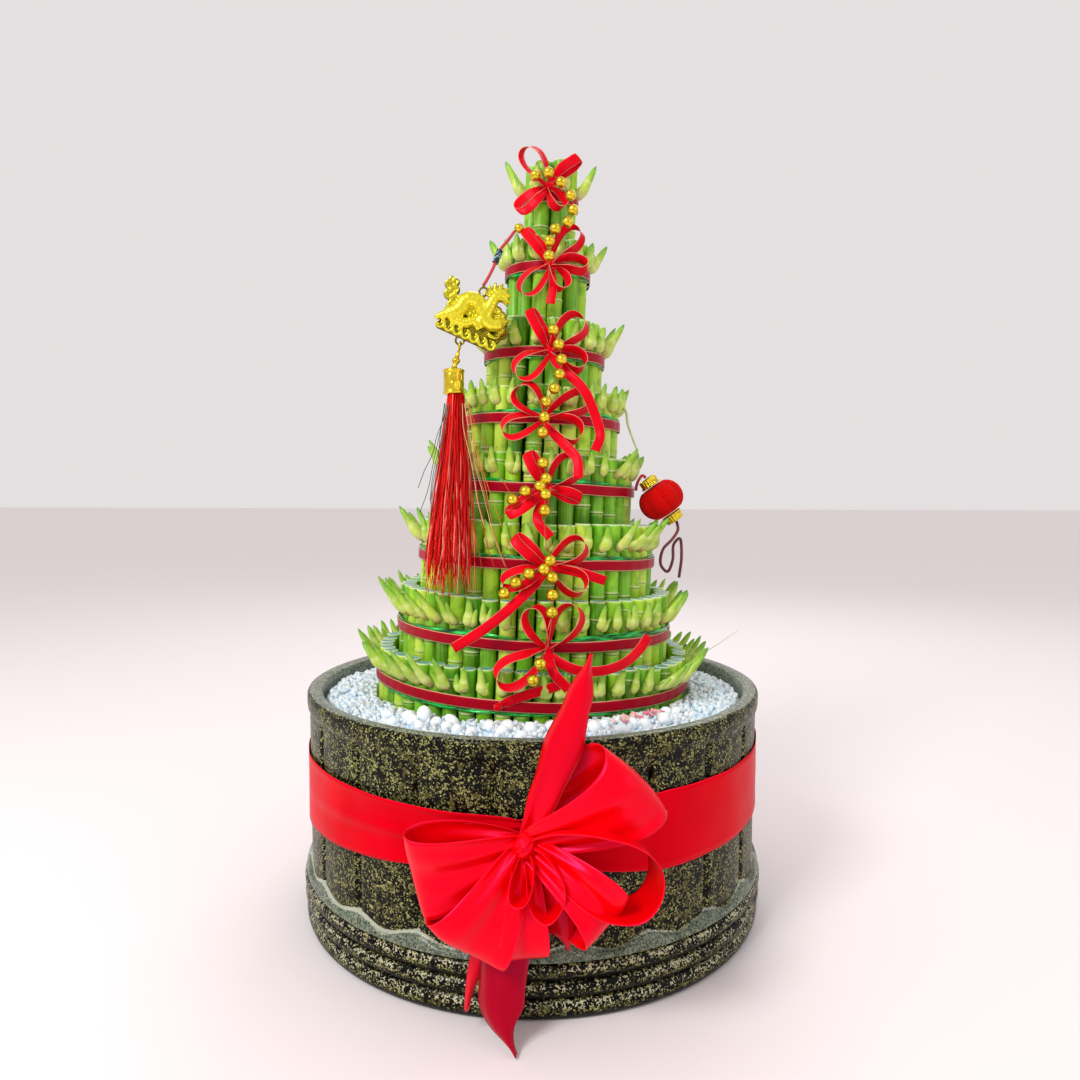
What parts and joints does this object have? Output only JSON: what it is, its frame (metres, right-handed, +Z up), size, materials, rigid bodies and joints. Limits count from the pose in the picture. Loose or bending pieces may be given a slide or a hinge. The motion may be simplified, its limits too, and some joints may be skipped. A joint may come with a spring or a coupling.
{
  "type": "lucky bamboo tower",
  "caption": "Tiered tower of lucky bamboo stalks tied with red ribbon bows, hung with a bead garland, charm and lantern, in white gravel in a fluted round pot.",
  "frame": {"origin": "centre of the pot's foot, on the surface that it stands on", "axes": "+Z up; -Y towards the front, where the bows are; +X to the right seen from the front"},
  "size_m": [0.3052, 0.3396, 0.4968],
  "materials": {
    "glaze": "speckled gloss glaze",
    "gravel": "white pebbles",
    "stalks": "living green stalks",
    "ribbon": "red ribbon with gold edges",
    "tape": "green foil tape",
    "beads": "gold coated",
    "satin": "red satin",
    "gold": "polished gold",
    "cord": "red cord",
    "wrap": "dark thread",
    "silk": "red silk strands",
    "flock": "red flock"
  },
  "bodies": {
    "root": {"pot": "glaze", "gravel": "gravel", "tier_8": "stalks", "tier_8_tape": "tape", "tier_8_ribbon": "ribbon", "tier_7": "stalks", "tier_7_tape": "tape", "tier_7_ribbon": "ribbon", "tier_6": "stalks", "tier_6_tape": "tape", "tier_6_ribbon": "ribbon", "tier_5": "stalks", "tier_5_tape": "tape", "tier_5_ribbon": "ribbon", "tier_4": "stalks", "tier_4_tape": "tape", "tier_4_ribbon": "ribbon", "tier_3": "stalks", "tier_3_tape": "tape", "tier_3_ribbon": "ribbon", "tier_2": "stalks", "tier_2_tape": "tape", "tier_2_ribbon": "ribbon", "tier_1": "stalks", "tier_1_ribbon": "ribbon", "bead_garland": "beads", "pot_ribbon": "satin", "pot_bow": "satin", "cord_bead": "beads", "charm_cord": "cord", "cord_wrap": "wrap", "charm": "gold", "charm_link": "gold", "tassel_cap": "gold", "tassel": "silk", "lantern": "flock", "lantern_cap_upper": "gold", "lantern_cap_lower": "gold", "lantern_hanger": "cord", "lantern_cord": "cord"}
  },
  "joints": []
}
